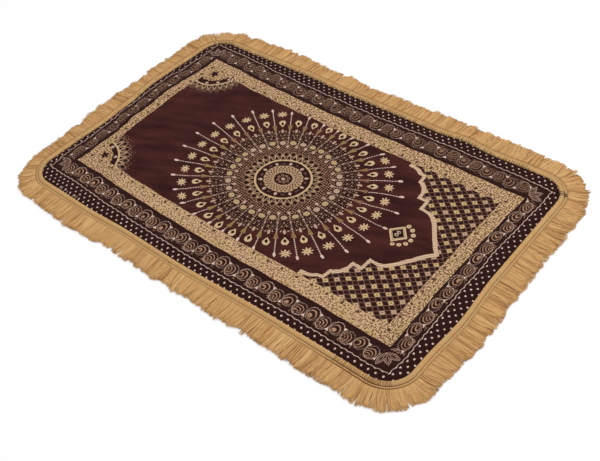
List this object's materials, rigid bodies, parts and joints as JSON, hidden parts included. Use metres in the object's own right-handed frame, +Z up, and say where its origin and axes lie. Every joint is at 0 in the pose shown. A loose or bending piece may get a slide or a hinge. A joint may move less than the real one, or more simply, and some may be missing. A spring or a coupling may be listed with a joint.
{
  "type": "prayer rug",
  "caption": "Padded prayer rug lying flat, with rounded corners, a diamond-quilted woven face and a fringe sewn all round its edge.",
  "frame": {"origin": "on the floor under the middle of the rug, fringe included", "axes": "+Y along the rug to the end with the prayer arch, +X to the right of someone facing that way, +Z up from the floor"},
  "size_m": [0.8078, 1.2142, 0.008],
  "materials": {
    "woven_cloth": "soft dark brown pile with a woven tan and gold design, faintly quilted",
    "fringe_yarn": "matt tan-gold yarn, soft and slightly lustrous"
  },
  "bodies": {
    "root": {"rug_cloth": "woven_cloth", "fringe": "fringe_yarn"}
  },
  "joints": []
}
